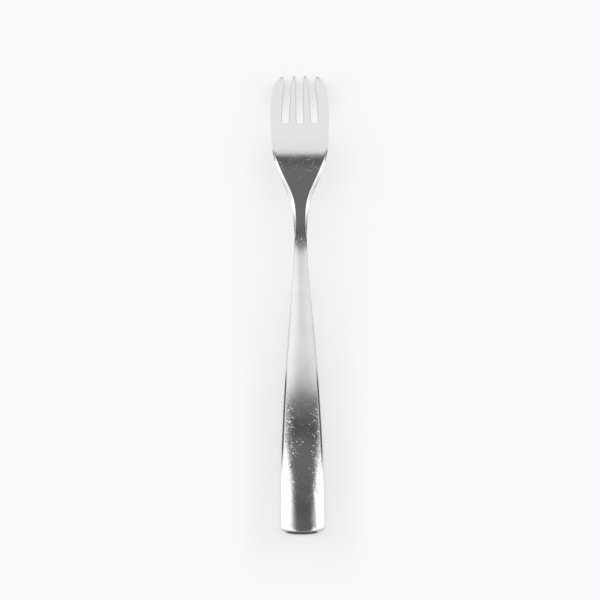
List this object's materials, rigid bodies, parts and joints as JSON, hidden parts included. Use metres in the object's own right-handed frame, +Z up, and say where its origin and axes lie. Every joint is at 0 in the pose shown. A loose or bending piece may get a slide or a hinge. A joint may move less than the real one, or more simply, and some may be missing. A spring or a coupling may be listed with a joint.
{
  "type": "dinner fork",
  "caption": "Plain one-piece stainless steel table fork with short tines, a barrel-shaped head, a slim neck and a flat handle that widens to a square end.",
  "frame": {"origin": "on the table under the middle of the fork, which lies face down on its tine tips and on the flat of its handle", "axes": "+Y along the fork to the tine tips, +X across it, +Z up from the table, out of the fork's back"},
  "size_m": [0.0252, 0.2, 0.0136],
  "materials": {
    "polished_steel": "polished stainless steel, bright, with fine scratches and small nicks from use"
  },
  "bodies": {
    "root": {"fork": "polished_steel"}
  },
  "joints": []
}
